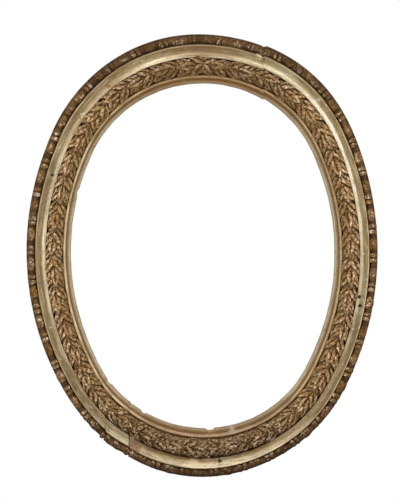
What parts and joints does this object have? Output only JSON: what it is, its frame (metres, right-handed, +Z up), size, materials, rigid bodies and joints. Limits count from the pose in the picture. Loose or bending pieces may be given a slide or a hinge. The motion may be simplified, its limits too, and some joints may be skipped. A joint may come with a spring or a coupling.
{
  "type": "oval picture frame",
  "caption": "Upright oval picture frame of carved, gilded wood: laurel moulding between a hollow and a bead-and-reel edge, on a lapped back frame with turn buttons and a hanging ring.",
  "frame": {"origin": "the point where the hanging ring bears in its staple, behind the top of the frame", "axes": "+X to the viewer's right, +Y towards the wall, +Z up; the carved front faces -Y"},
  "size_m": [0.618, 0.0616, 0.77],
  "materials": {
    "gilded_wood": "worn gold-toned leaf over gesso, toned brown in the recesses",
    "back_wood": "bare, aged softwood",
    "peg_wood": "bare end grain",
    "button_wood": "bare, handled smooth",
    "forged_iron": "black forged iron with a little rust"
  },
  "bodies": {
    "frame": {"moulding_top_board": "gilded_wood", "moulding_right_board": "gilded_wood", "moulding_bottom_board": "gilded_wood", "moulding_repair_piece": "gilded_wood", "moulding_left_board": "gilded_wood", "back_frame_upper_right": "back_wood", "back_frame_top": "back_wood", "back_frame_upper_left": "back_wood", "back_frame_lower_left": "back_wood", "back_frame_bottom": "back_wood", "back_frame_lower_right": "back_wood", "lap_pegs": "peg_wood", "board_nails": "forged_iron", "button_screws": "forged_iron", "hanger_staple": "forged_iron"},
    "hanging_ring": {"hanging_ring": "forged_iron"},
    "turn_button_upper_right": {"turn_button_upper_right": "button_wood"},
    "turn_button_upper_left": {"turn_button_upper_left": "button_wood"},
    "turn_button_lower_left": {"turn_button_lower_left": "button_wood"},
    "turn_button_lower_right": {"turn_button_lower_right": "button_wood"}
  },
  "joints": [
    {"name": "ring_swing", "type": "hinge", "parent": "frame", "child": "hanging_ring", "pos_m": [0, 0, 0], "axis": [1, 0, 0], "range_deg": [-6, 186]},
    {"name": "turn_button_upper_right_turn", "type": "hinge", "parent": "frame", "child": "turn_button_upper_right", "pos_m": [0.20846, -0.0067, -0.13035], "axis": [0, 1, 0], "continuous": true},
    {"name": "turn_button_upper_left_turn", "type": "hinge", "parent": "frame", "child": "turn_button_upper_left", "pos_m": [-0.20846, -0.0067, -0.13035], "axis": [0, 1, 0], "continuous": true},
    {"name": "turn_button_lower_left_turn", "type": "hinge", "parent": "frame", "child": "turn_button_lower_left", "pos_m": [-0.19985, -0.0067, -0.56662], "axis": [0, 1, 0], "continuous": true},
    {"name": "turn_button_lower_right_turn", "type": "hinge", "parent": "frame", "child": "turn_button_lower_right", "pos_m": [0.19985, -0.0067, -0.56662], "axis": [0, 1, 0], "continuous": true}
  ]
}
